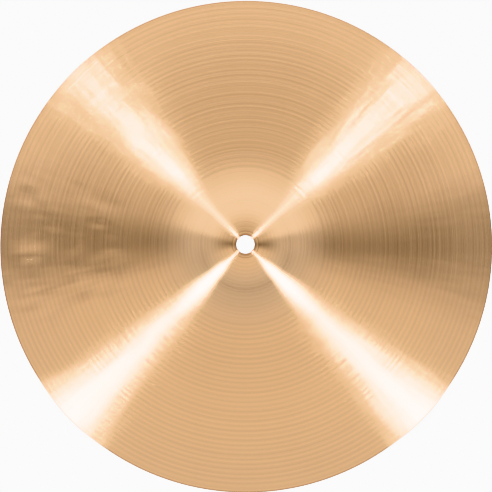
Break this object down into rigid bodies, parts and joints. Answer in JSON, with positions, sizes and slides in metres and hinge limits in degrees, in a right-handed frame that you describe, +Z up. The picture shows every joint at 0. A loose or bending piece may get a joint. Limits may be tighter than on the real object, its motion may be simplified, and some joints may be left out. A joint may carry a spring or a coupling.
{
  "type": "crash cymbal",
  "caption": "Thin bronze disc with a raised bell, a gently bowed lathed surface, a rounded rim and a plain centre hole that hangs it on a stand's rod.",
  "frame": {"origin": "on the cymbal's axis, in the plane that its rim rests on", "axes": "+Z up along the cymbal's axis, from the rim's plane to the bell; the disc is the same all the way round, so X and Y are any two directions across it"},
  "size_m": [0.3556, 0.3556, 0.0352],
  "materials": {
    "bronze": "bare bronze turned on a lathe in fine concentric grooves, clear and semi-bright"
  },
  "bodies": {
    "root": {"cymbal": "bronze"}
  },
  "joints": []
}
